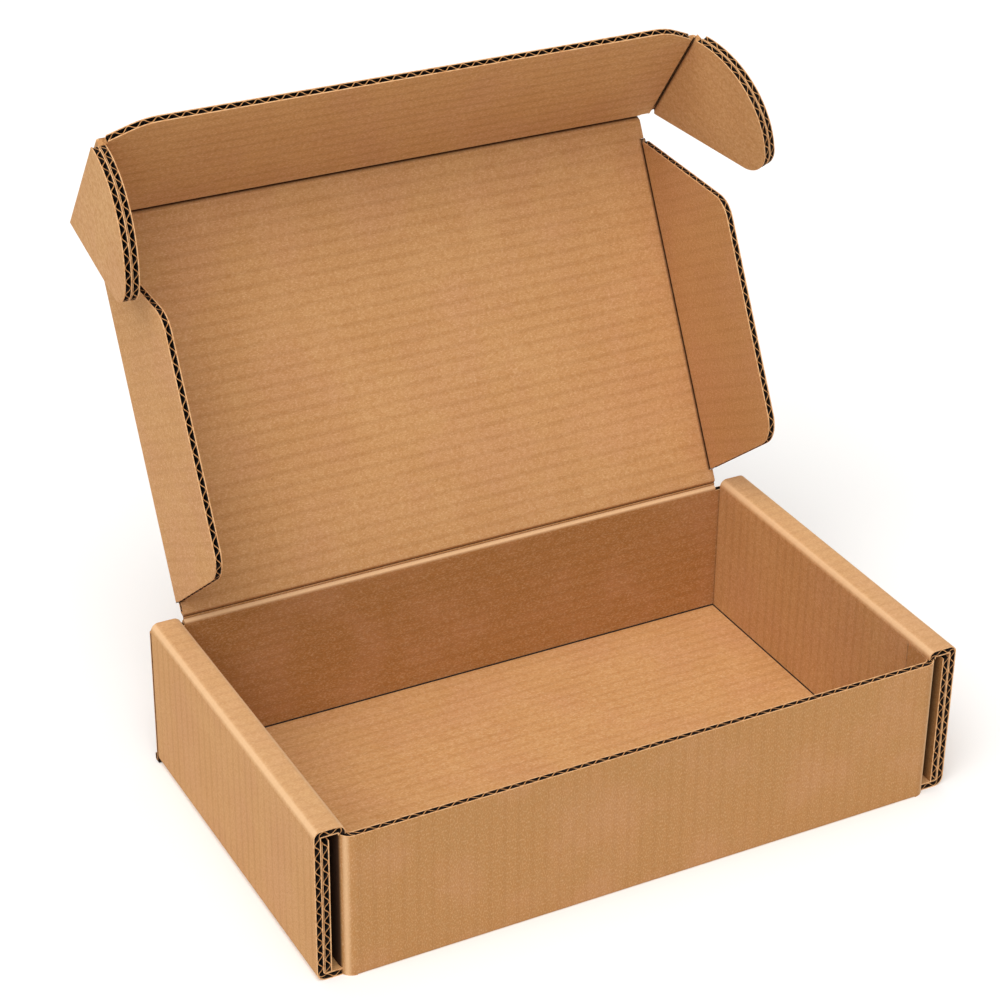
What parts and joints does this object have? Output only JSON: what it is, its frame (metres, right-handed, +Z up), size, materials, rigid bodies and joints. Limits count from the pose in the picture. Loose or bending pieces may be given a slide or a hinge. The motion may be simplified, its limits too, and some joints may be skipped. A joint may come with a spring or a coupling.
{
  "type": "corrugated box",
  "caption": "Roll-end mailer of kraft corrugated board, standing open: tray, hinged lid, tuck flap with doubled ears and two lid side flaps.",
  "frame": {"origin": "centre of the base's underside", "axes": "+Z up, +Y to the back wall that carries the lid, +X to the box's right when its front wall faces the viewer"},
  "size_m": [0.3152, 0.2588, 0.2825],
  "materials": {
    "kraft_board": "uncoated kraft liner, matt"
  },
  "bodies": {
    "tray": {"tray": "kraft_board"},
    "lid": {"lid": "kraft_board"},
    "tuck_flap": {"tuck_flap": "kraft_board"},
    "side_flap_left": {"side_flap_left": "kraft_board"},
    "side_flap_right": {"side_flap_right": "kraft_board"},
    "ear_left": {"ear_left": "kraft_board"},
    "ear_right": {"ear_right": "kraft_board"}
  },
  "joints": [
    {"name": "lid_crease", "type": "hinge", "parent": "tray", "child": "lid", "pos_m": [0, 0.08635, 0.0696], "axis": [1, 0, 0], "range_deg": [-62, 90]},
    {"name": "tuck_crease", "type": "hinge", "parent": "lid", "child": "tuck_flap", "pos_m": [0, 0.16914, 0.22531], "axis": [-1, 0, 0], "range_deg": [-26, 64]},
    {"name": "side_flap_left_crease", "type": "hinge", "parent": "lid", "child": "side_flap_left", "pos_m": [-0.13415, 0.12775, 0.14745], "axis": [0, 0.4695, 0.8829], "range_deg": [-90, 5]},
    {"name": "side_flap_right_crease", "type": "hinge", "parent": "lid", "child": "side_flap_right", "pos_m": [0.13415, 0.12775, 0.14745], "axis": [0, -0.4695, -0.8829], "range_deg": [-90, 5]},
    {"name": "ear_left_crease", "type": "hinge", "parent": "tuck_flap", "child": "ear_left", "pos_m": [-0.14145, 0.14872, 0.25342], "axis": [0, -0.5878, 0.809], "range_deg": [-88, 2]},
    {"name": "ear_right_crease", "type": "hinge", "parent": "tuck_flap", "child": "ear_right", "pos_m": [0.14145, 0.14872, 0.25342], "axis": [0, 0.5878, -0.809], "range_deg": [-72, 18]}
  ]
}
